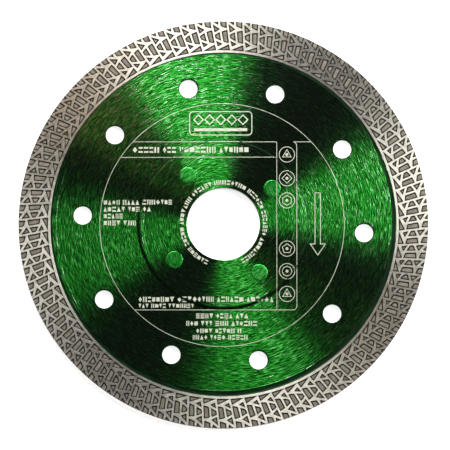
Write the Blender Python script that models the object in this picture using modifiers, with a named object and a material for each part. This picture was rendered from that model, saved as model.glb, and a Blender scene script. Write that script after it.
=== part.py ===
"""Diamond blade for an angle grinder or tile cutter, with a continuous mesh-turbo rim.

A thin steel core carries a sintered diamond rim at its edge. Two thin flanges stiffen the hub, one on each
face, and four flush rivets clamp them through the core.

Frame: the origin is on the bore axis at the back flange's clamping face, and +Z points out of the front face.
"""

import math

import bmesh
import bpy
from mathutils import Matrix, Vector

# Overall sizes.
BLADE_D = 0.125            # over the diamond rim
BORE_D = 0.02223           # spindle bore, through the core and both flanges
CORE_T = 0.0012            # steel core
RIM_W = 0.0097             # radial height of the sintered rim
RIM_PROUD = 0.0001         # how far the rim stands proud of the core on each face

# Core details.
COOLING_HOLES = 10
COOLING_HOLE_D = 0.0058
COOLING_PCD = 0.086
COOLING_PHASE = -3.6       # degrees from +X to the first hole
RELIEF_W = 0.0012          # turned band beside the rim
RELIEF_DEPTH = 0.0001

# Hub details.
FLANGE_D = 0.0518
FLANGE_T = 0.0004
EDGE_CHAMFER = 0.00015     # on the outer and inner edge of each flange's clamping face
RIVETS = 4
RIVET_PCD = 0.037
RIVET_PHASE = 36.2         # degrees from +X to the first rivet
RIVET_HEAD_D = 0.0051      # where a head meets the flange's clamping face
RIVET_SHANK_D = 0.0038

# Clearances between pieces.
RIM_GAP = 0.0003           # between the core's edge and the rim
SEAT_GAP = 0.0003          # braze film between a flange and the core
RIVET_GAP = 0.0003         # around each rivet

# Rim pattern. Pockets are sunk into both faces and leave a net of raised ribs.
PITCHES = 80
POCKET_DEPTH = 0.00025
BACK_SHIFT = 0.5           # of a pitch, so that the edge notches of the two faces take turns
RIM_BAND_W = 0.00085       # plain band beside the core, with no pockets

# Corners of the pockets, as (share of the pitch, share of the height from the plain band to the edge).
# A share above 1 runs past the edge, so that the pocket is open there.
OPEN = 1.1
POCKETS = {
    "edge_notch": [(0.84, OPEN), (1.20, OPEN), (1.15, 0.836), (0.80, 0.774)],
    "long_pocket": [(0.76, 0.684), (1.09, 0.638), (0.97, 0.288), (0.64, 0.254)],
    "short_pocket": [(0.25, 0.605), (0.55, 0.525), (0.51, 0.412), (0.18, 0.333)],
    "root_pocket": [(0.62, 0.181), (0.55, 0), (1.36, 0)],
}

# Facets of the round surfaces.
RIM_STEPS = 2 * PITCHES
CORE_STEPS = 120
FLANGE_STEPS = 72
HOLE_STEPS = 24
RIVET_STEPS = 24
SHARP_ANGLE = math.radians(30)
CUT_MARGIN = 0.001         # how far a cutter runs past the surface that it opens

RIM_T = CORE_T + 2 * RIM_PROUD
HUB_T = CORE_T + 2 * (SEAT_GAP + FLANGE_T)
MID_Z = HUB_T / 2
RIM_INNER_R = BLADE_D / 2 - RIM_W
CORE_R = RIM_INNER_R - RIM_GAP


def clear_scene():
    for old in list(bpy.context.scene.objects):
        bpy.data.objects.remove(old, do_unlink=True)


def new_collection(name):
    collection = bpy.data.collections.new(name)
    bpy.context.scene.collection.children.link(collection)
    return collection


def material(name, colour, roughness, metallic):
    mat = bpy.data.materials.new(name)
    mat.use_nodes = True
    shader = mat.node_tree.nodes["Principled BSDF"]
    shader.inputs["Base Color"].default_value = (*colour, 1)
    shader.inputs["Roughness"].default_value = roughness
    shader.inputs["Metallic"].default_value = metallic
    mat.diffuse_color = (*colour, 1)
    return mat


def turned(name, profile, steps, closed=True):
    """A solid of revolution about Z from (radius, height) points that run down the outer side."""
    mesh = bpy.data.meshes.new(name)
    edges = [(i, i + 1) for i in range(len(profile) - 1)]
    if closed:
        edges.append((len(profile) - 1, 0))
    mesh.from_pydata([(radius, 0, height) for radius, height in profile], edges, [])
    obj = bpy.data.objects.new(name, mesh)
    parts.objects.link(obj)
    screw = obj.modifiers.new("turn", "SCREW")
    screw.axis = "Z"
    screw.angle = 2 * math.pi
    screw.steps = steps
    screw.render_steps = steps
    screw.use_merge_vertices = not closed
    screw.merge_threshold = 1e-6
    return obj


def as_cutter(obj):
    obj.hide_render = True
    obj.display_type = "WIRE"


def cut(obj, cutter):
    boolean = obj.modifiers.new("cut " + cutter.name, "BOOLEAN")
    boolean.operation = "DIFFERENCE"
    boolean.solver = "EXACT"
    boolean.object = cutter


def settle(obj, mat):
    """Turns the modifiers' result into the object's own mesh, smooth where it is round."""
    obj.data.materials.append(mat)
    evaluated = obj.evaluated_get(bpy.context.evaluated_depsgraph_get())
    mesh = bpy.data.meshes.new_from_object(evaluated)
    mesh.name = obj.name
    obj.modifiers.clear()
    obj.data = mesh
    mesh.shade_smooth()
    mesh.set_sharp_from_angle(angle=SHARP_ANGLE)


def circle_places(count, pcd, phase):
    """Centres of a ring of equal features, as vectors in the XY plane."""
    for i in range(count):
        angle = math.radians(phase + i * 360 / count)
        yield Vector((math.cos(angle), math.sin(angle), 0)) * (pcd / 2)


def drill(name, places, low, high, low_r, high_r):
    """A cutter of straight or conical plugs between two heights."""
    plugs = bmesh.new()
    for place in places:
        middle = place + Vector((0, 0, (low + high) / 2))
        bmesh.ops.create_cone(
            plugs,
            cap_ends=True,
            segments=HOLE_STEPS,
            radius1=low_r,
            radius2=high_r,
            depth=high - low,
            matrix=Matrix.Translation(middle),
        )
    mesh = bpy.data.meshes.new(name)
    plugs.to_mesh(mesh)
    plugs.free()
    obj = bpy.data.objects.new(name, mesh)
    cutters.objects.link(obj)
    as_cutter(obj)
    return obj


def rivet_places():
    return circle_places(RIVETS, RIVET_PCD, RIVET_PHASE)


def head_radius(depth):
    """Radius of a countersunk rivet head, at a depth below the clamping face."""
    head_h = FLANGE_T + SEAT_GAP
    slope = (RIVET_HEAD_D - RIVET_SHANK_D) / 2 / head_h
    return RIVET_HEAD_D / 2 - slope * depth


def make_core():
    half = CORE_T / 2
    low_half = half - RELIEF_DEPTH
    relief_r = CORE_R - RELIEF_W
    bore_r = BORE_D / 2
    profile = [
        (bore_r, half),
        (relief_r, half),
        (relief_r + RELIEF_DEPTH, low_half),
        (CORE_R, low_half),
        (CORE_R, -low_half),
        (relief_r + RELIEF_DEPTH, -low_half),
        (relief_r, -half),
        (bore_r, -half),
    ]
    core = turned("steel_core", profile, CORE_STEPS)
    core.location.z = MID_Z
    low, high = MID_Z - half - CUT_MARGIN, MID_Z + half + CUT_MARGIN
    cooling = circle_places(COOLING_HOLES, COOLING_PCD, COOLING_PHASE)
    cooling_r = COOLING_HOLE_D / 2
    cut(core, drill("cooling_drill", cooling, low, high, cooling_r, cooling_r))
    rivet_hole_r = RIVET_SHANK_D / 2 + RIVET_GAP
    cut(core, drill("rivet_drill", rivet_places(), low, high, rivet_hole_r, rivet_hole_r))
    settle(core, material("core_lacquer", (0.02, 0.33, 0.04), 0.35, 0.9))


def make_flange(name, front):
    """A thin ring on one face of the core. The front one is modelled and the back one is its turned copy."""
    outer_r, bore_r = FLANGE_D / 2, BORE_D / 2
    top = HUB_T / 2
    seat = top - FLANGE_T
    profile = [
        (bore_r, top - EDGE_CHAMFER),
        (bore_r + EDGE_CHAMFER, top),
        (outer_r - EDGE_CHAMFER, top),
        (outer_r, top - EDGE_CHAMFER),
        (outer_r, seat),
        (bore_r, seat),
    ]
    flange = turned(name, profile, FLANGE_STEPS)
    low, high = -CUT_MARGIN, FLANGE_T + CUT_MARGIN
    low_r = head_radius(high) + RIVET_GAP
    high_r = head_radius(low) + RIVET_GAP
    places = list(rivet_places())
    if not front:
        # The same places as seen in the frame of a ring that is turned over about X.
        places = [Vector((place.x, -place.y, 0)) for place in places]
    sink = drill(name + "_countersink", places, top - high, top - low, low_r, high_r)
    cut(flange, sink)
    for obj in (flange, sink):
        obj.location.z = MID_Z
        obj.rotation_euler.x = 0 if front else math.pi
    settle(flange, material(name + "_lacquer", (0.02, 0.36, 0.05), 0.33, 0.9))


def make_rivets():
    half = HUB_T / 2
    neck = CORE_T / 2
    head_r, shank_r = RIVET_HEAD_D / 2, RIVET_SHANK_D / 2
    profile = [
        (0, half),
        (head_r, half),
        (shank_r, neck),
        (shank_r, -neck),
        (head_r, -half),
        (0, -half),
    ]
    for number, place in enumerate(rivet_places(), start=1):
        rivet = turned(f"rivet_{number}", profile, RIVET_STEPS, closed=False)
        rivet.location = place + Vector((0, 0, MID_Z))
        settle(rivet, material(f"rivet_{number}_lacquer", (0.03, 0.4, 0.07), 0.3, 0.9))


def make_pocket_cutter(name):
    """Prisms for every pocket of the front face: one flat outline per pocket, filled and extruded."""
    flat = bpy.data.curves.new(name, "CURVE")
    flat.dimensions = "2D"
    flat.fill_mode = "BOTH"
    flat.extrude = (POCKET_DEPTH + CUT_MARGIN) / 2
    foot_r = RIM_INNER_R + RIM_BAND_W
    height = BLADE_D / 2 - foot_r
    for outline in POCKETS.values():
        for pitch in range(PITCHES):
            spline = flat.splines.new("POLY")
            spline.points.add(len(outline) - 1)
            spline.use_cyclic_u = True
            for point, (across, up) in zip(spline.points, outline):
                radius = foot_r + up * height
                angle = (pitch + across) * 2 * math.pi / PITCHES
                point.co = (radius * math.cos(angle), radius * math.sin(angle), 0, 1)
    outlines = bpy.data.objects.new(name + "_outlines", flat)
    cutters.objects.link(outlines)
    evaluated = outlines.evaluated_get(bpy.context.evaluated_depsgraph_get())
    mesh = bpy.data.meshes.new_from_object(evaluated)
    bpy.data.objects.remove(outlines, do_unlink=True)
    prisms = bmesh.new()
    prisms.from_mesh(mesh)
    bmesh.ops.remove_doubles(prisms, verts=prisms.verts, dist=1e-6)
    prisms.to_mesh(mesh)
    prisms.free()
    return mesh


def make_rim():
    outer_r = BLADE_D / 2
    half = RIM_T / 2
    profile = [(RIM_INNER_R, half), (outer_r, half), (outer_r, -half), (RIM_INNER_R, -half)]
    rim = turned("diamond_rim", profile, RIM_STEPS)
    rim.location.z = MID_Z
    mesh = make_pocket_cutter("rim_pockets")
    height = half - POCKET_DEPTH + (POCKET_DEPTH + CUT_MARGIN) / 2
    back_shift = BACK_SHIFT * 2 * math.pi / PITCHES
    for side, turn, shift in (("front", 0, 0), ("back", math.pi, back_shift)):
        cutter = bpy.data.objects.new("rim_pockets_" + side, mesh)
        cutters.objects.link(cutter)
        cutter.rotation_euler = (turn, 0, shift)
        cutter.location.z = MID_Z + height * math.cos(turn)
        as_cutter(cutter)
        cut(rim, cutter)
    settle(rim, material("sintered_diamond", (0.42, 0.4, 0.36), 0.45, 0.8))


clear_scene()
parts = new_collection("diamond_blade")
cutters = new_collection("cutters")
make_core()
make_flange("front_flange", front=True)
make_flange("back_flange", front=False)
make_rivets()
make_rim()
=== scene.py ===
"""Looks of the diamond blade: lacquered brushed core and hub, silver print, and the rib net of the rim.

Lengths are metres. The blade lies on its back flange, with its printed face up and +Y up the print.
"""

import math
import random

import bmesh
import bpy
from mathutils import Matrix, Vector
from mathutils.geometry import delaunay_2d_cdt


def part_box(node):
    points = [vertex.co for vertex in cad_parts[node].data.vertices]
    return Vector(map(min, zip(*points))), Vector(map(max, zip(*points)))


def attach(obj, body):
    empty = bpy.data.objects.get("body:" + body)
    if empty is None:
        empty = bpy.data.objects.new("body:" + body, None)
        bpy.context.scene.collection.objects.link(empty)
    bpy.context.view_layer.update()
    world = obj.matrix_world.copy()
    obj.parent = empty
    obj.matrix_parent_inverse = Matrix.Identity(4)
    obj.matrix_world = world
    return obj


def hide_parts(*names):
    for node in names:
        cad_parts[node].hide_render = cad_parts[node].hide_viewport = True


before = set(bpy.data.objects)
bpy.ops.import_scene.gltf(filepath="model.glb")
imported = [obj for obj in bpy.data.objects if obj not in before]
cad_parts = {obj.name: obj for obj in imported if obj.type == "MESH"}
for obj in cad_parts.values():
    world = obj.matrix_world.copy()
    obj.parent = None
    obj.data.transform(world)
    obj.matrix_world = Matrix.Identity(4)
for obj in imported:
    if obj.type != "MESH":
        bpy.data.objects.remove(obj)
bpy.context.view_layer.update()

MM = 0.001

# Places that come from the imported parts.
RIM_LOW, RIM_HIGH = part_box("diamond_rim")
CORE_LOW, CORE_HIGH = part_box("steel_core")
FRONT_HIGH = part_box("front_flange")[1]
BACK_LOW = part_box("back_flange")[0]
MID_Z = (RIM_LOW.z + RIM_HIGH.z) / 2
BLADE_R = RIM_HIGH.x
FLANGE_R = FRONT_HIGH.x

# Holes of the core and hub.
BORE_R = 11.115 * MM
CORE_BORE_EDGE = 0.1 * MM
FLANGE_BORE_EDGE = 0.12 * MM
COOLING_HOLES = 10
COOLING_R = 43 * MM
COOLING_HOLE_R = 2.76 * MM
COOLING_PHASE = math.radians(-3.6)
# The edge of each cooling hole is painted dark as shade, wider at the upper right.
HOLE_EDGE_W = 0.3 * MM
HOLE_EDGE_SHIFT = Vector((0.12, 0.14)) * MM

# The rivets and the countersinks round them.
RIVET_HEAD_R = 2.55 * MM
RIVET_WAIST_R = 0.78 * RIVET_HEAD_R
RIVET_HOLE_R = 0.8 * RIVET_HEAD_R
RIVET_FIT = 0.04 * MM
SINK_EDGE = 0.05 * MM
SINK_TAPER = 0.3 * MM
# Outline of a rivet's head, as (share of its radius, height above the hub's face in mm).
RIVET_CROWN = [(0.12, 0), (0.5, -0.002), (0.85, -0.008), (0.96, -0.03), (1, -0.08)]

RIM_INNER_R = BLADE_R - 9.7 * MM
# The groove turned into each face beside the rim, as (distance from the rim, depth) in mm, inner lip first.
GROOVE = [
    (1.95, 0), (1.9, 0.03), (1.85, 0), (1.02, 0), (0.96, 0.05), (0.86, 0.16), (0.55, 0.19), (0.26, 0.17),
    (0.14, 0.05), (0.08, 0), (0.02, 0.01),
]
GROOVE_FLOOR_BANDS = (4, 5, 6, 7, 8)    # between those points, painted almost black as shade in the groove
# It was turned off centre: wide at the lower right and narrow at the upper left.
GROOVE_W = 1.1 * MM
GROOVE_LIP_W = 0.05 * MM
GROOVE_LEAN = 0.7
GROOVE_NARROW_AT = math.radians(125)

# The flange's edge is rounded over this width and share of its thickness.
FLANGE_EDGE_W = 0.32 * MM
FLANGE_EDGE_DROP = 0.55
FLANGE_EDGE_STEPS = 4
# Fine lines turned into the flange near its edge, as (distance from the edge, depth) in mm.
FLANGE_LINES = [(1.6, 0), (1.55, 0.03), (1.5, 0), (1.0, 0), (0.95, 0.03), (0.9, 0)]
FLANGE_EDGE_BANDS = (6, 7, 8, 9, 10)    # of the rounded edge, painted almost black as shade

# The rim's rib net.
PITCHES = 80
PITCH = 2 * math.pi / PITCHES
NET_FOOT_R = RIM_INNER_R + 0.85 * MM
# Inset and depth of each level of a pocket, in mm.
POCKET_STEPS = [(-0.15, 0), (-0.12, 0.04), (0.2, 0.21), (0.25, 0.25)]
CORNER_CUT = 0.22 * MM
CORNER_POINTS = 3
EDGE_ROUND = 0.05 * MM
INNER_EDGE_W, INNER_EDGE_DROP = 0.08 * MM, 0.06 * MM
# Middles of the two ribs that reach the cutting edge, as shares of the pitch.
EDGE_RIBS = (0.265, 0.74)

# Corners of the pockets, as (share of the pitch, share of the net's height).
CLOSED_POCKETS = [
    [(0.645, 0.876), (0.26, 0.723), (0.56, 0.627)],
    [(0.76, 0.684), (0.64, 0.254), (0.97, 0.288), (1.09, 0.638)],
    [(0.255, 0.605), (0.18, 0.333), (0.51, 0.412), (0.55, 0.525)],
    [(0.475, 0.299), (0.115, 0.209), (0.375, 0.136)],
    [(0.625, 0.181), (0.55, 0), (1.365, 0)],
]
# Pockets that run out at the edge: the path from one outer corner to the other, past the edge.
OPEN_POCKETS = [
    [(0.335, 1.04), (0.36, 0.887), (0.71, 1.04)],
    [(0.85, 1.1), (0.80, 0.774), (1.15, 0.836), (1.20, 1.1)],
]

# Points round each circle.
CORE_POINTS, FLANGE_POINTS, BORE_POINTS, RIM_INNER_POINTS = 360, 240, 180, 320
COOLING_POINTS, RIVET_POINTS, RIVET_HOLE_POINTS = 48, 48, 32
SHARP_ANGLE = math.radians(28)

# The silver print.
INK = 0.012 * MM
PRINT_STEP = 0.25 * MM
PLATE_LINE_W, ARROW_LINE_W, SIGN_LINE_W = 0.28 * MM, 0.22 * MM, 0.19 * MM
FRAME_LINE_W, CIRCLE_LINE_W = 0.17 * MM, 0.15 * MM
# The big printed circle and the column of signs, in mm about the axis.
PRINT_CENTRE = Vector((-0.4, -0.2))
PRINT_R = 37.3
COLUMN_LEFT, COLUMN_RIGHT, COLUMN_TOP, COLUMN_FOOT = 16.3, 22.4, 25.3, -26.3
TITLE_FOOT = 20.5
SIGNS_X = 19.4
# Where the ring of marks runs round the bore: radius of its foot, and its start and end.
BORE_ROW_R = 12.1
BORE_ROW_START, BORE_ROW_END = -math.radians(248), math.radians(70)

# Lacquer over the brushing: in its dark and middle marks, in its light marks and in single glints.
DEEP, MIDDLE = (0.001, 0.075, 0.002), (0.006, 0.19, 0.008)
LIGHT, GLINT = (0.034, 0.44, 0.04), (0.35, 0.8, 0.35)
RIVET_COLOURS = (0.005, 0.2, 0.012), (0.016, 0.36, 0.03), (0.08, 0.5, 0.1)


# ---------------------------------------------------------------- mesh helpers

def polar(radius, angle):
    return Vector((radius * math.cos(angle), radius * math.sin(angle)))


def circle(radius, count, centre=Vector((0, 0))):
    return [centre + polar(radius, 2 * math.pi * i / count) for i in range(count)]


def raise_loop(bm, points, z):
    return [bm.verts.new((point.x, point.y, z)) for point in points]


def band(bm, one, other, closed=True, slot=0):
    """Quads between two rows of equally many vertices."""
    count = len(one)
    for i in range(count if closed else count - 1):
        j = (i + 1) % count
        face = bm.faces.new((one[i], one[j], other[j], other[i]))
        face.material_index = slot
        face.smooth = True


def signed_area(points):
    return sum(a.x * b.y - b.x * a.y for a, b in zip(points, points[1:] + points[:1])) / 2


def fill(bm, outer, holes, slot=0):
    """Triangles inside an outer loop and outside the loops within it, all in one plane."""
    loops = [list(outer)] + [list(hole) for hole in holes]
    for loop in loops:
        if signed_area([vert.co.xy for vert in loop]) < 0:
            loop.reverse()
    verts = [vert for loop in loops for vert in loop]
    points = [vert.co.xy / MM for vert in verts]
    rings, start = [], 0
    for loop in loops:
        rings.append(list(range(start, start + len(loop))))
        start += len(loop)
    _, _, faces, from_vert, _, from_face = delaunay_2d_cdt(points, [], rings, 1, 1e-6)
    for corners, owners in zip(faces, from_face):
        if owners == [0]:
            face = bm.faces.new([verts[from_vert[i][0]] for i in corners])
            face.material_index = slot


def wall(bm, profile, count, centre=Vector((0, 0)), shaded=(), outline=circle):
    """Rings joined by bands, from (radius, height) points that run from the front face to the back.

    The bands named in shaded take the piece's second material. outline draws the ring of a radius.
    """
    rings = [raise_loop(bm, outline(radius, count, centre), z) for radius, z in profile]
    for number, (one, other) in enumerate(zip(rings, rings[1:])):
        band(bm, one, other, slot=1 if number in shaded else 0)
    return rings


def new_piece(name, bm, materials, location=(0, 0, 0)):
    bmesh.ops.recalc_face_normals(bm, faces=bm.faces)
    for edge in bm.edges:
        edge.smooth = edge.calc_face_angle(0) < SHARP_ANGLE
    mesh = bpy.data.meshes.new(name)
    bm.to_mesh(mesh)
    bm.free()
    for mat in materials:
        mesh.materials.append(mat)
    obj = bpy.data.objects.new(name, mesh)
    obj.location = location
    bpy.context.scene.collection.objects.link(obj)
    return obj


def plate(name, materials, outer, holes):
    """A flat plate with two faces, from its outer wall and its holes' walls."""
    bm = bmesh.new()
    edges = wall(bm, *outer)
    bores = [wall(bm, *hole) for hole in holes]
    fill(bm, edges[0], [bore[0] for bore in bores])
    fill(bm, edges[-1], [bore[-1] for bore in bores])
    return new_piece(name, bm, materials)


# ---------------------------------------------------------------- node helpers

class Nodes:
    """Short hands for building one material's node tree."""

    def __init__(self, name):
        self.mat = bpy.data.materials.new(name)
        self.mat.use_nodes = True
        self.tree = self.mat.node_tree
        self.shader = self.tree.nodes["Principled BSDF"]

    def add(self, kind, **settings):
        node = self.tree.nodes.new(kind)
        for key, value in settings.items():
            setattr(node, key, value)
        return node

    def link(self, value, socket):
        if isinstance(value, bpy.types.NodeSocket):
            self.tree.links.new(value, socket)
        elif value is not None:
            socket.default_value = value

    def math(self, operation, a, b=None, c=None):
        node = self.add("ShaderNodeMath", operation=operation)
        for value, socket in zip((a, b, c), node.inputs):
            self.link(value, socket)
        return node.outputs[0]

    def vector(self, operation, a, b=None, scale=None):
        node = self.add("ShaderNodeVectorMath", operation=operation)
        self.link(a, node.inputs[0])
        self.link(b, node.inputs[1])
        self.link(scale, node.inputs[3])
        return node.outputs["Value" if operation in ("LENGTH", "DOT_PRODUCT") else "Vector"]

    def place(self):
        return self.add("ShaderNodeTexCoord").outputs["Object"]

    def noise(self, vector, scale, detail=2.0, roughness=0.5):
        node = self.add("ShaderNodeTexNoise")
        self.link(vector, node.inputs["Vector"])
        node.inputs["Scale"].default_value = scale
        node.inputs["Detail"].default_value = detail
        node.inputs["Roughness"].default_value = roughness
        return node.outputs["Fac"]

    def ramp(self, value, *stops):
        node = self.add("ShaderNodeValToRGB")
        self.link(value, node.inputs[0])
        elements = node.color_ramp.elements
        while len(elements) < len(stops):
            elements.new(0.5)
        for element, (position, colour) in zip(elements, stops):
            element.position = position
            element.color = (*colour, 1)
        return node.outputs["Color"]

    def spread(self, value, low, high, to_low, to_high):
        node = self.add("ShaderNodeMapRange")
        for name, number in (("From Min", low), ("From Max", high), ("To Min", to_low), ("To Max", to_high)):
            node.inputs[name].default_value = number
        self.link(value, node.inputs["Value"])
        return node.outputs[0]

    def bump(self, height, distance, normal=None):
        node = self.add("ShaderNodeBump")
        node.inputs["Distance"].default_value = distance
        self.link(height, node.inputs["Height"])
        self.link(normal, node.inputs["Normal"])
        return node.outputs["Normal"]

    def set(self, **values):
        for name, value in values.items():
            self.link(value, self.shader.inputs[name.replace("_", " ")])

    def brush_space(self, length, width, wander):
        """Coordinates in which a streak that runs round the axis is one unit long and one unit wide."""
        place = self.place()
        flat = self.vector("MULTIPLY", place, (1, 1, 0))
        drift = self.math("MULTIPLY", self.noise(place, 90, 1), wander)
        radius = self.math("ADD", self.vector("LENGTH", flat), drift)
        around = self.vector("SCALE", self.vector("NORMALIZE", flat), scale=1 / length)
        out = self.add("ShaderNodeCombineXYZ")
        self.link(self.math("MULTIPLY", radius, 1 / width), out.inputs["Z"])
        return self.vector("ADD", around, out.outputs[0])

    def brushed_tangent(self, jitter, amount):
        """The direction in which brush marks scatter light: outward, and swung a little by a streak value."""
        place = self.place()
        flat = self.vector("MULTIPLY", place, (1, 1, 0))
        outward = self.vector("NORMALIZE", flat)
        around = self.vector("CROSS_PRODUCT", (0, 0, 1), outward)
        swing = self.math("MULTIPLY", self.math("SUBTRACT", jitter, 0.5), amount)
        aside = self.vector("SCALE", around, scale=swing)
        return self.vector("NORMALIZE", self.vector("ADD", outward, aside))


def lacquered_steel(name, streaks, colours, roughness, anisotropy=1.0, ripple=0.06 * MM, coat=1.0):
    """Circularly brushed steel seen through transparent green lacquer.

    streaks gives (angle in radians, width in metres) of the fine and of the coarse brush marks, and colours
    the lacquer in the deep, middle and light marks. ripple is the height of the clear coat's own fine waves.
    """
    n = Nodes(name)
    deep, middle, light = colours
    fine_streak, coarse_streak = streaks
    fine = n.noise(n.brush_space(*fine_streak, 0.3 * MM), 1, 1.5, 0.5)
    coarse = n.noise(n.brush_space(*coarse_streak, 1.2 * MM), 1, 2, 0.5)
    cloud = n.noise(n.place(), 60, 2)
    marks = n.math("ADD", n.math("MULTIPLY", fine, 0.87), n.math("MULTIPLY", coarse, 0.13))
    glint = n.spread(n.noise(n.brush_space(0.02, 0.16 * MM, 0.3 * MM), 1, 1), 0.62, 0.72, 0, 0.12)
    tone = n.math("ADD", marks, n.math("MULTIPLY", n.math("SUBTRACT", cloud, 0.5), 0.1))
    tone = n.math("ADD", tone, glint)
    waves = n.noise(n.brush_space(fine_streak[0] * 1.3, 0.17 * MM, 0.3 * MM), 1, 1, 0.5)
    n.set(
        Base_Color=n.ramp(tone, (0.36, deep), (0.5, middle), (0.64, light), (0.74, GLINT)),
        Metallic=1.0,
        Roughness=n.spread(marks, 0.35, 0.65, roughness - 0.03, roughness + 0.05),
        Anisotropic=anisotropy,
        Tangent=n.brushed_tangent(coarse, 0.12),
        Normal=n.bump(marks, 0.02 * MM),
        Coat_Weight=coat,
        Coat_Roughness=0.14,
        Coat_IOR=2.1,
        Coat_Normal=n.bump(waves, ripple),
    )
    return n.mat


def painted_shade_lacquer(name):
    """Painted shade: almost black lacquer colour for the floor of the groove, round the hub and at the holes.
    """
    n = Nodes(name)
    streak = n.noise(n.brush_space(0.1, 0.2 * MM, 0.3 * MM), 1, 2)
    n.set(
        Base_Color=n.ramp(streak, (0.4, (0.002, 0.012, 0.004)), (0.65, (0.006, 0.05, 0.012))),
        Metallic=0.6,
        Roughness=n.spread(streak, 0.3, 0.7, 0.3, 0.45),
        Normal=n.bump(streak, 0.02 * MM),
    )
    return n.mat


def ground_sinter(name):
    """Rib tops of the rim: metal bond ground bright round the axis, with specks of diamond grit."""
    n = Nodes(name)
    streak = n.noise(n.brush_space(0.02, 0.15 * MM, 0.2 * MM), 1, 2)
    cloud = n.noise(n.place(), 600, 3, 0.6)
    grit = n.add("ShaderNodeTexVoronoi", feature="F1")
    grit.inputs["Scale"].default_value = 4200
    n.link(n.place(), grit.inputs["Vector"])
    speck = n.spread(grit.outputs["Distance"], 0.12, 0.25, 1.0, 0.0)
    tone = n.math("ADD", n.math("MULTIPLY", streak, 0.5), n.math("MULTIPLY", cloud, 0.5))
    height = n.math("ADD", cloud, n.math("MULTIPLY", speck, 0.5))
    dull, plain, bright = (0.5, 0.47, 0.4), (0.72, 0.69, 0.6), (0.9, 0.87, 0.78)
    n.set(
        Base_Color=n.ramp(tone, (0.35, dull), (0.5, plain), (0.65, bright)),
        Metallic=0.95,
        Roughness=n.spread(tone, 0.35, 0.65, 0.44, 0.54),
        Anisotropic=0.9,
        Tangent=n.brushed_tangent(streak, 0.3),
        Normal=n.bump(height, 0.01 * MM),
    )
    return n.mat


def rough_sinter(name, dark, light, metallic=0.35):
    """As-pressed metal bond: matt, grainy and grey brown."""
    n = Nodes(name)
    cloud = n.noise(n.place(), 700, 4, 0.6)
    grain = n.noise(n.place(), 5200, 2, 0.7)
    tone = n.math("ADD", n.math("MULTIPLY", cloud, 0.5), n.math("MULTIPLY", grain, 0.5))
    n.set(
        Base_Color=n.ramp(tone, (0.36, dark), (0.64, light)),
        Metallic=metallic,
        Specular_IOR_Level=0.3,
        Roughness=n.spread(grain, 0.3, 0.7, 0.55, 0.75),
        Normal=n.bump(n.math("ADD", grain, cloud), 0.05 * MM),
    )
    return n.mat


def silver_ink(name):
    """Thin silver screen print, slightly starved where the brushing is deep."""
    n = Nodes(name)
    starve = n.noise(n.brush_space(0.05, 0.3 * MM, 0.5 * MM), 1, 3, 0.6)
    thin, plain, full = (0.4, 0.5, 0.34), (0.72, 0.78, 0.6), (0.88, 0.9, 0.78)
    n.set(
        Base_Color=n.ramp(starve, (0.33, thin), (0.48, plain), (0.62, full)),
        Metallic=0.2,
        Roughness=n.spread(starve, 0.3, 0.7, 0.4, 0.55),
        Normal=n.bump(starve, 0.01 * MM),
    )
    return n.mat


# ---------------------------------------------------------------- pieces

def cooling_centres():
    step = 2 * math.pi / COOLING_HOLES
    return [polar(COOLING_R, COOLING_PHASE + step * i) for i in range(COOLING_HOLES)]


def rivet_centres():
    corners = [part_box(f"rivet_{number}") for number in range(1, 5)]
    return [((low + high) / 2).xy for low, high in corners]


def mirrored(profile):
    """A profile from the front face to the middle, continued to the back face."""
    return profile + [(radius, 2 * MID_Z - z) for radius, z in reversed(profile)]


def hole_wall(radius, top, edge, count, centre=Vector((0, 0))):
    """What wall() needs for a hole through the core, with both of its edges taken off."""
    profile = [(radius + edge, top), (radius + 0.3 * edge, top - 0.3 * edge), (radius, top - edge)]
    return mirrored(profile), count, centre


def groove_ring(radius, count, centre):
    """A ring about the axis, drawn off centre if it belongs to the groove."""
    away = RIM_INNER_R - radius
    if not GROOVE_LIP_W < away < GROOVE_W:
        return circle(radius, count, centre)
    ring = []
    for i in range(count):
        angle = 2 * math.pi * i / count
        lean = GROOVE_LEAN * math.cos(angle - GROOVE_NARROW_AT)
        ring.append(polar(RIM_INNER_R - away * (1 - lean), angle))
    return ring


def hole_ring(radius, count, centre):
    """A ring of a cooling hole, moved a little aside where it borders the face, so that its painted shade is
    wider at the upper right.
    """
    return circle(radius, count, centre + HOLE_EDGE_SHIFT * max(0, radius - COOLING_HOLE_R) / HOLE_EDGE_W)


def make_core(materials):
    """The steel plate between bore and rim, with its holes and the groove beside the rim."""
    top = CORE_HIGH.z
    outer = mirrored([(RIM_INNER_R - away * MM, top - depth * MM) for away, depth in GROOVE])
    last = len(outer) - 2
    # The groove's floor bands on both faces carry the painted shade.
    shaded = GROOVE_FLOOR_BANDS + tuple(last - number for number in GROOVE_FLOOR_BANDS)
    every_band = (0, 1, 2, 3, 4)
    holes = [hole_wall(BORE_R, top, CORE_BORE_EDGE, BORE_POINTS)]
    for centre in cooling_centres():
        hole = hole_wall(COOLING_HOLE_R, top, HOLE_EDGE_W, COOLING_POINTS, centre)
        # Every band of a cooling hole's edges and wall carries the painted shade.
        holes.append(hole + (every_band, hole_ring))
    for centre in rivet_centres():
        holes.append(hole_wall(RIVET_HOLE_R, top, SINK_EDGE, RIVET_HOLE_POINTS, centre))
    core = plate("core_plate", materials, (outer, CORE_POINTS, Vector((0, 0)), shaded, groove_ring), holes)
    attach(core, "root")
    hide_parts("steel_core")


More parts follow.
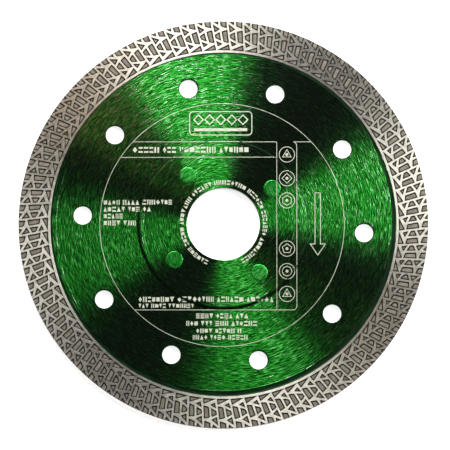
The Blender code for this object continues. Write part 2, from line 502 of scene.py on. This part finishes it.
def make_flange(name, node, materials, face, seat):
    """A hub flange between its clamping face and the core, with a rounded edge and countersinks."""
    side = 1 if face > seat else -1
    height = abs(face - seat)
    edge = [(FLANGE_R - away * MM, face - side * depth * MM) for away, depth in FLANGE_LINES]
    edge.append((FLANGE_R - FLANGE_EDGE_W, face))
    for step in range(1, FLANGE_EDGE_STEPS + 1):
        turn = step / FLANGE_EDGE_STEPS * math.pi / 2
        drop = FLANGE_EDGE_DROP * height * (1 - math.cos(turn))
        edge.append((FLANGE_R - FLANGE_EDGE_W * (1 - math.sin(turn)), face - side * drop))
    edge.append((FLANGE_R, seat))
    soft = FLANGE_BORE_EDGE
    bore = [(BORE_R + soft, face), (BORE_R + 0.3 * soft, face - side * 0.3 * soft)]
    bore += [(BORE_R, face - side * soft), (BORE_R, seat)]
    sink_r = RIVET_HEAD_R + RIVET_FIT
    sink = [(sink_r + SINK_EDGE, face), (sink_r, face - side * SINK_EDGE), (sink_r - SINK_TAPER, seat)]
    # The bore's rounded edge and wall (bands 1 and 2) carry the painted shade.
    holes = [(bore, BORE_POINTS, Vector((0, 0)), (1, 2))]
    holes += [(sink, RIVET_POINTS, centre) for centre in rivet_centres()]
    # The bands of the rounded edge carry the painted shade.
    flange = plate(name, materials, (edge, FLANGE_POINTS, Vector((0, 0)), FLANGE_EDGE_BANDS), holes)
    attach(flange, "root")
    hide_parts(node)


def make_rivet(number, mat):
    """A flush rivet with a faintly crowned head on each face, brushed together with the hub."""
    low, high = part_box(f"rivet_{number}")
    profile = [(RIVET_HEAD_R * share, high.z + height * MM) for share, height in RIVET_CROWN]
    profile.append((RIVET_WAIST_R, (high.z + MID_Z) / 2))
    bm = bmesh.new()
    rings = wall(bm, mirrored(profile), RIVET_POINTS, ((low + high) / 2).xy)
    fill(bm, rings[0], [])
    fill(bm, rings[-1], [])
    rivet = new_piece(f"rivet_head_{number}", bm, [mat])
    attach(rivet, "root")
    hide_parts(f"rivet_{number}")


def on_net(share, up):
    """A point of the net from its share of the pitch and of the net's height."""
    return polar(NET_FOOT_R + up * (BLADE_R - NET_FOOT_R), share * PITCH)


def shifted_corner(before, corner, after, distance):
    """Where the two sides at a corner meet when both move to the left of their direction."""
    one = (corner - before).normalized()
    other = (after - corner).normalized()
    bisector = (Vector((-one.y, one.x)) + Vector((-other.y, other.x))).normalized()
    return corner + bisector * distance / max(bisector.dot(Vector((-one.y, one.x))), 0.2)


def soft_corner(before, corner, after):
    """Points of a small curve that takes the corner off."""
    start = corner + (before - corner).normalized() * min(CORNER_CUT, (before - corner).length * 0.4)
    end = corner + (after - corner).normalized() * min(CORNER_CUT, (after - corner).length * 0.4)
    curve = []
    for step in range(CORNER_POINTS):
        t = step / (CORNER_POINTS - 1)
        curve.append(start.lerp(corner, t).lerp(corner.lerp(end, t), t))
    return curve


def closed_outline(corners, inset):
    """A pocket's outline with soft corners, drawn in by the inset."""
    points = [on_net(*corner) for corner in corners]
    if signed_area(points) < 0:
        points.reverse()
    count = len(points)
    moved = []
    for i in range(count):
        moved.append(shifted_corner(points[i - 1], points[i], points[(i + 1) % count], inset))
    outline = []
    for i in range(count):
        outline += soft_corner(moved[i - 1], moved[i], moved[(i + 1) % count])
    return outline


def at_radius(inner, outer, radius):
    """Where the line from an inner point through an outer one crosses a circle about the axis."""
    way = (outer - inner).normalized()
    along = inner.dot(way)
    return inner + way * (-along + math.sqrt(along ** 2 - inner.length_squared + radius ** 2))


def open_outline(corners, inset, edge_r):
    """The path of a pocket that runs out at the edge, from edge to edge, counter-clockwise round the rim."""
    points = [on_net(*corner) for corner in corners]
    # Walking counter-clockwise round the rim, the pocket lies on the right of its own path.
    inner = []
    for before, corner, after in zip(points, points[1:], points[2:]):
        inner.append(shifted_corner(before, corner, after, -inset))
    first = points[0] + (inner[0] - points[1])
    last = points[-1] + (inner[-1] - points[-2])
    path = [at_radius(inner[0], first, edge_r)]
    around = [first] + inner + [last]
    for before, corner, after in zip(around, around[1:], around[2:]):
        path += soft_corner(before, corner, after)
    path.append(at_radius(inner[-1], last, edge_r))
    return path


def turned_by(points, pitch):
    cosine, sine = math.cos(pitch * PITCH), math.sin(pitch * PITCH)
    return [Vector((p.x * cosine - p.y * sine, p.x * sine + p.y * cosine)) for p in points]


RIB, WALL, FLOOR, EDGE = range(4)


def make_net_face(bm, place):
    """The rib net of one face. place puts a point of the net and its depth below the face in space.

    Returns the inner loop of the face and, for each pitch, the row of vertices along the outer edge.
    """
    def row(points, depth):
        return [bm.verts.new(place(point, depth)) for point in points]

    levels = [(inset * MM, depth * MM) for inset, depth in POCKET_STEPS]
    pockets = [[closed_outline(corners, inset) for inset, _ in levels] for corners in CLOSED_POCKETS]
    edge_radii = [BLADE_R - EDGE_ROUND] + [BLADE_R] * (len(levels) - 1)
    notches = [
        [open_outline(corners, inset, edge_r) for (inset, _), edge_r in zip(levels, edge_radii)]
        for corners in OPEN_POCKETS
    ]
    holes = []
    for pitch in range(PITCHES):
        for outlines in pockets:
            rows = [row(turned_by(points, pitch), depth) for points, (_, depth) in zip(outlines, levels)]
            band(bm, rows[0], rows[1], slot=RIB)
            band(bm, rows[1], rows[2], slot=WALL)
            band(bm, rows[2], rows[3], slot=WALL)
            bm.faces.new(rows[3]).material_index = FLOOR
            holes.append(rows[0])

    outer, edge_rows = [], []
    rounding = levels[1][1]
    for pitch in range(PITCHES):
        edge_row = []
        for rib_share, outlines in zip(EDGE_RIBS, notches):
            top = row([polar(BLADE_R - EDGE_ROUND, (pitch + rib_share) * PITCH)], 0)
            side = row([polar(BLADE_R, (pitch + rib_share) * PITCH)], rounding)
            rows = [row(turned_by(points, pitch), depth) for points, (_, depth) in zip(outlines, levels)]
            band(bm, rows[1], rows[2], closed=False, slot=WALL)
            band(bm, rows[2], rows[3], closed=False, slot=WALL)
            floor_path = turned_by(outlines[3], pitch)
            angles = [math.atan2(point.y, point.x) for point in (floor_path[0], floor_path[-1])]
            span = (angles[1] - angles[0]) % (2 * math.pi)
            arc = row([polar(BLADE_R, angles[0] + span * t / 4) for t in (1, 2, 3)], levels[3][1])
            bm.faces.new(rows[3] + arc[::-1]).material_index = FLOOR
            outer += [(top[0], side[0])] + list(zip(rows[0], rows[1]))
            edge_row += side + [rows[1][0], rows[2][0], rows[3][0]] + arc
            edge_row += [rows[3][-1], rows[2][-1], rows[1][-1]]
        edge_rows.append(edge_row)
    tops = [top for top, _ in outer]
    sides = [side for _, side in outer]
    band(bm, tops, sides, slot=RIB)
    inner_top = row(circle(RIM_INNER_R + INNER_EDGE_W, RIM_INNER_POINTS), 0)
    inner_side = row(circle(RIM_INNER_R, RIM_INNER_POINTS), INNER_EDGE_DROP)
    band(bm, inner_top, inner_side, slot=RIB)
    fill(bm, tops, [inner_top] + holes, slot=RIB)
    return inner_side, edge_rows


def make_rim(materials):
    """Both faces of the net, the rim's inner wall and the cutting edge between the two patterns."""
    bm = bmesh.new()
    half = RIM_HIGH.z - MID_Z

    def front(point, depth):
        return point.x, point.y, MID_Z + half - depth

    def back(point, depth):
        place = turned_by([Vector((point.x, -point.y))], 0.5)[0]
        return place.x, place.y, MID_Z - half + depth

    front_inner, front_rows = make_net_face(bm, front)
    back_inner, back_rows = make_net_face(bm, back)
    back_inner.reverse()
    band(bm, front_inner, nearest_start(back_inner, front_inner[0]), slot=EDGE)

    # The back pattern runs the other way round, so its rows join end to end into one reversed circuit.
    back_circuit = [vert for edge_row in back_rows for vert in edge_row][::-1]
    back_seams = [edge_row[0] for edge_row in back_rows][::-1]
    for pitch in range(PITCHES):
        top = front_rows[pitch] + [front_rows[(pitch + 1) % PITCHES][0]]
        left = min(back_seams, key=lambda vert: (vert.co.xy - top[0].co.xy).length)
        right = min(back_seams, key=lambda vert: (vert.co.xy - top[-1].co.xy).length)
        start = back_circuit.index(left)
        circuit = back_circuit[start:] + back_circuit[:start]
        bottom = circuit[:circuit.index(right) + 1]
        bm.faces.new(top + bottom[::-1]).material_index = EDGE
    long_faces = [face for face in bm.faces if len(face.verts) > 4]
    bmesh.ops.triangulate(bm, faces=long_faces, ngon_method="EAR_CLIP")
    rim = new_piece("rib_net_rim", bm, materials)
    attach(rim, "root")
    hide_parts("diamond_rim")


def nearest_start(loop, vert):
    """The loop, started at its vertex that lies nearest to another one in plan."""
    start = min(range(len(loop)), key=lambda i: (loop[i].co.xy - vert.co.xy).length)
    return loop[start:] + loop[:start]


# ---------------------------------------------------------------- print

def face_height(x, y):
    """Height of the printed face: the core, and the flange with its rounded edge."""
    from_edge = FLANGE_R - math.hypot(x, y)
    if from_edge <= 0:
        return CORE_HIGH.z
    if from_edge >= FLANGE_EDGE_W:
        return FRONT_HIGH.z
    along = 1 - from_edge / FLANGE_EDGE_W
    drop = FLANGE_EDGE_DROP * (FRONT_HIGH.z - CORE_HIGH.z)
    return FRONT_HIGH.z - drop * (1 - math.sqrt(max(0, 1 - along ** 2)))


def ink_vert(bm, point):
    return bm.verts.new((point.x, point.y, face_height(point.x, point.y) + INK))


def resampled(points, closed, step=PRINT_STEP):
    """The same line with extra points, so that it can follow the faces under it."""
    ends = points[1:] + points[:1] if closed else points[1:]
    dense = []
    for one, other in zip(points, ends):
        parts = max(1, math.ceil((other - one).length / step))
        dense += [one.lerp(other, i / parts) for i in range(parts)]
    return dense if closed else dense + [points[-1]]


def line(bm, points, closed=False, width=PLATE_LINE_W):
    """A printed line of even width through points given in mm about the axis."""
    path = resampled([Vector(point) * MM for point in points], closed)
    count = len(path)
    left, right = [], []
    for i, point in enumerate(path):
        before = path[i - 1] if closed or i else point
        after = path[(i + 1) % count] if closed or i < count - 1 else point
        one = (point - before).normalized() if point != before else (after - point).normalized()
        other = (after - point).normalized() if point != after else one
        side = Vector((-one.y - other.y, one.x + other.x)).normalized()
        reach = width / 2 / max(side.dot(Vector((-one.y, one.x))), 0.4)
        left.append(ink_vert(bm, point + side * reach))
        right.append(ink_vert(bm, point - side * reach))
    band(bm, left, right, closed)


def filled(bm, points):
    """A printed convex shape, in metres about the axis."""
    rim = [ink_vert(bm, point) for point in resampled(points, True)]
    centre = ink_vert(bm, sum(points, Vector((0, 0))) / len(points))
    for one, other in zip(rim, rim[1:] + rim[:1]):
        bm.faces.new((one, other, centre))


# Plain shapes that stand in for written characters, each as convex outlines in a box of one by one.
MARKS = [
    [[(0, 0), (1, 0), (1, 0.3), (0, 0.3)], [(0, 0.7), (1, 0.7), (1, 1), (0, 1)]],
    [[(0, 0), (0.36, 0), (0.36, 1), (0, 1)], [(0.64, 0), (1, 0), (1, 1), (0.64, 1)]],
    [[(0, 0), (1, 0), (0.5, 1)]],
    [[(0.5, 0), (1, 0.5), (0.5, 1), (0, 0.5)]],
    [[(0, 0.1), (1, 0.1), (1, 0.9), (0, 0.9)]],
    [[(0, 1), (1, 1), (0.5, 0)]],
    [[(0, 0), (1, 0), (1, 0.22), (0, 0.22)], [(0, 0.39), (1, 0.39), (1, 0.61), (0, 0.61)],
     [(0, 0.78), (1, 0.78), (1, 1), (0, 1)]],
]


def mark_row(bm, rng, x0, x1, foot, height, bend=None):
    """A row of plain marks in word-like groups, in mm, where the object carries writing.

    bend is the radius of the row's foot where the row runs clockwise round the bore.
    """
    gap, word_gap = height * 0.2, height * 0.45
    x = x0
    while x < x1 - height:
        for _ in range(rng.randint(3, 8)):
            wide = height * rng.uniform(0.55, 0.8)
            if x + wide > x1:
                break
            for outline in rng.choice(MARKS):
                points = [Vector((x + wide * u, foot + height * v)) for u, v in outline]
                if bend:
                    points = [polar(bend + point.y, -point.x / bend) for point in points]
                filled(bm, [point * MM for point in points])
            x += wide + gap
        x += word_gap


def box_path(x0, x1, y0, y1, radii):
    """Corners of a box from the lower left, counter-clockwise, each rounded by its own radius."""
    corners = [(x0, y0, 180), (x1, y0, 270), (x1, y1, 0), (x0, y1, 90)]
    inward = [(1, 1), (-1, 1), (-1, -1), (1, -1)]
    path = []
    for (x, y, start), (ix, iy), radius in zip(corners, inward, radii):
        if radius == 0:
            path.append((x, y))
            continue
        centre = Vector((x + ix * radius, y + iy * radius))
        path += [tuple(centre + polar(radius, math.radians(start + 22.5 * i))) for i in range(5)]
    return path


def regular(sides, radius, centre, phase=0.0):
    """Corners of a regular polygon."""
    return [tuple(Vector(centre) + polar(radius, phase + 2 * math.pi * i / sides)) for i in range(sides)]


def chord_end(y, side):
    """Where a level line meets the big circle, on the left (-1) or on the right (1)."""
    return PRINT_CENTRE.x + side * math.sqrt(PRINT_R ** 2 - (y - PRINT_CENTRE.y) ** 2)


def print_frames(bm):
    """The big circle, the level lines across it and the column round the signs."""
    line(bm, regular(240, PRINT_R, PRINT_CENTRE), closed=True, width=CIRCLE_LINE_W)
    levels = [(COLUMN_TOP, chord_end(COLUMN_TOP, 1)), (TITLE_FOOT, COLUMN_LEFT), (COLUMN_FOOT, COLUMN_LEFT)]
    for y, right in levels:
        line(bm, [(chord_end(y, -1), y), (right, y)], width=FRAME_LINE_W)
    column = box_path(COLUMN_LEFT, COLUMN_RIGHT, COLUMN_FOOT, COLUMN_TOP, (0, 1.2, 1.2, 0))
    line(bm, column, closed=True, width=FRAME_LINE_W)


def print_signs(bm):
    """Six ringed polygons, in place of the pictograms of the original."""
    for y, sides in ((21.4, 3), (14.0, 4), (7.2, 6), (-7.6, 5), (-14.5, 8), (-21.4, 3)):
        centre = (SIGNS_X, y)
        line(bm, regular(40, 2.35, centre), closed=True, width=SIGN_LINE_W)
        line(bm, regular(sides, 1.5, centre, math.pi / 2), closed=True, width=SIGN_LINE_W)
        line(bm, regular(8, 0.3, centre), closed=True, width=0.3 * MM)


def print_plate(bm):
    """The framed plate at the top, with five diamonds and a bar in place of a name."""
    line(bm, box_path(-10.3, 8.7, 27.4, 34.6, (1.1,) * 4), closed=True)
    for number in range(5):
        line(bm, regular(4, 1.45, (-7.6 + 3.4 * number, 32.1)), closed=True, width=0.34 * MM)
    filled(bm, [Vector(corner) * MM for corner in ((-8.9, 28.6), (7.3, 28.6), (7.3, 29.5), (-8.9, 29.5))])


def print_arrow(bm):
    """The outline arrow that shows the direction of rotation."""
    arrow = [(27.95, 9.6), (27.95, -6.1), (26.5, -6.1), (28.8, -9.5), (31.1, -6.1), (29.6, -6.1), (29.6, 9.6)]
    line(bm, arrow, closed=True, width=ARROW_LINE_W)


def print_rows(bm, rng):
    """Rows of marks where the original carries writing, as (left end, right end, foot, height) in mm."""
    rows = [(-27.7, 8.6, 21.9, 1.8)]
    rows += [(-36.5, -36.5 + width, y, 1.5) for y, width in ((5.9, 21), (3.8, 15.3), (1.7, 5.8), (-0.4, 9.8))]
    rows += [(-25.8, 15.4, -23.9, 1.6), (-25.8, -8.4, -25.7, 1.3)]
    rows += [(-8.3, 7.7, -28.9, 1.5), (-11.3, 10.7, -31.2, 1.5)]
    rows += [(-8.3, 6.3, -33.4, 1.4), (-9.3, 8.3, -35.4, 1.4)]
    for x0, x1, y, height in rows:
        mark_row(bm, rng, x0, x1, y, height)
    mark_row(bm, rng, BORE_ROW_START * BORE_ROW_R, BORE_ROW_END * BORE_ROW_R, 0, 1.35, BORE_ROW_R)


def make_print(mat):
    bm = bmesh.new()
    print_frames(bm)
    print_signs(bm)
    print_plate(bm)
    print_arrow(bm)
    print_rows(bm, random.Random(7))
    prints = new_piece("front_print", bm, [mat])
    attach(prints, "root")


# ---------------------------------------------------------------- stage

def make_floor():
    """A lit white table, so that shadows on it stay faint."""
    bm = bmesh.new()
    bmesh.ops.create_grid(bm, x_segments=1, y_segments=1, size=2)
    n = Nodes("pale_floor")
    cloud = n.noise(n.place(), 3, 1)
    n.set(
        Base_Color=n.ramp(cloud, (0.3, (0.9, 0.9, 0.9)), (0.7, (0.93, 0.93, 0.925))),
        Roughness=0.9,
        Specular_IOR_Level=0.1,
        Emission_Color=(1, 1, 1, 1),
        Emission_Strength=0.85,
    )
    new_piece("floor", bm, [n.mat], (0, 0, -0.02 * MM))


def softbox(name, azimuth, zenith, distance, size, power, colour=(1, 1, 1)):
    """A rectangular lamp at an angle round and down from overhead, aimed at the hub."""
    light = bpy.data.lights.new(name, "AREA")
    light.shape = "RECTANGLE"
    light.size, light.size_y = size
    light.energy = power
    light.color = colour
    lamp = bpy.data.objects.new(name, light)
    turn, tilt = math.radians(azimuth), math.radians(zenith)
    lamp.location = Vector((*polar(math.sin(tilt), turn), math.cos(tilt))) * distance
    lamp.rotation_euler = lamp.location.to_track_quat("Z", "Y").to_euler()
    bpy.context.scene.collection.objects.link(lamp)


def make_lights():
    """Four lamps and a faint surround. The two keys draw the bright fans of the brushing."""
    softbox("key_right", 19.5, 45, 0.45, (0.19, 0.12), 1.3)
    softbox("key_top", 101, 45, 0.45, (0.18, 0.12), 1.6)
    softbox("warm_fill", 129, 45, 0.2, (0.07, 0.05), 0.028, (1, 0.6, 0.28))
    softbox("low_left", 165, 74, 0.5, (0.14, 0.1), 0.12)
    world = bpy.data.worlds.new("studio")
    world.use_nodes = True
    world.node_tree.nodes["Background"].inputs["Color"].default_value = (0.95, 0.97, 1, 1)
    world.node_tree.nodes["Background"].inputs["Strength"].default_value = 0.015
    bpy.context.scene.world = world


def make_camera():
    """Almost straight down on the printed face, from a long way off."""
    view_w = 137.3 * MM
    distance = 2.0
    tilt = math.radians(6.5)
    camera = bpy.data.cameras.new("camera")
    camera.sensor_width = 36
    camera.lens = camera.sensor_width * distance / view_w
    camera.clip_start, camera.clip_end = 0.05, 20
    holder = bpy.data.objects.new("camera", camera)
    aim = Vector((0.5 * MM, -0.21 * MM, MID_Z))
    holder.location = aim + Vector((0, -math.sin(tilt), math.cos(tilt))) * distance
    holder.rotation_euler = (tilt, 0, 0)
    bpy.context.scene.collection.objects.link(holder)
    bpy.context.scene.camera = holder


make_camera()
make_lights()
make_floor()
bpy.context.scene.view_settings.view_transform = "Standard"

green = (DEEP, MIDDLE, LIGHT)
core_lacquer = lacquered_steel("core_lacquer", [(0.05, 0.17 * MM), (0.12, 0.5 * MM)], green, 0.26)
hub_lacquer = lacquered_steel("hub_lacquer", [(0.1, 0.17 * MM), (0.25, 0.5 * MM)], green, 0.26)
rivet_lacquer = lacquered_steel(
    "rivet_lacquer", [(0.08, 0.2 * MM), (0.3, 0.7 * MM)], RIVET_COLOURS, 0.42,
    anisotropy=0.6, ripple=0.015 * MM, coat=0.1,
)
# Almost black painted shade for the groove's floor, the flanges' rounded edges and bores, and the cooling
# holes' edges.
shade_paint = painted_shade_lacquer("painted_shade_lacquer")
make_core([core_lacquer, shade_paint])
hub = [hub_lacquer, shade_paint]
make_flange("flange_front", "front_flange", hub, FRONT_HIGH.z, CORE_HIGH.z)
make_flange("flange_back", "back_flange", hub, BACK_LOW.z, CORE_LOW.z)
for rivet_number in range(1, 5):
    make_rivet(rivet_number, rivet_lacquer)
make_rim([
    ground_sinter("ground_ribs"),
    # The pocket walls are painted almost black as shade in the recesses.
    rough_sinter("pocket_walls_painted_shade", (0.005, 0.004, 0.003), (0.022, 0.018, 0.014), 0.0),
    rough_sinter("pocket_floors", (0.15, 0.133, 0.108), (0.37, 0.335, 0.275)),
    rough_sinter("rim_edge", (0.12, 0.11, 0.09), (0.26, 0.24, 0.2)),
])
make_print(silver_ink("silver_print"))
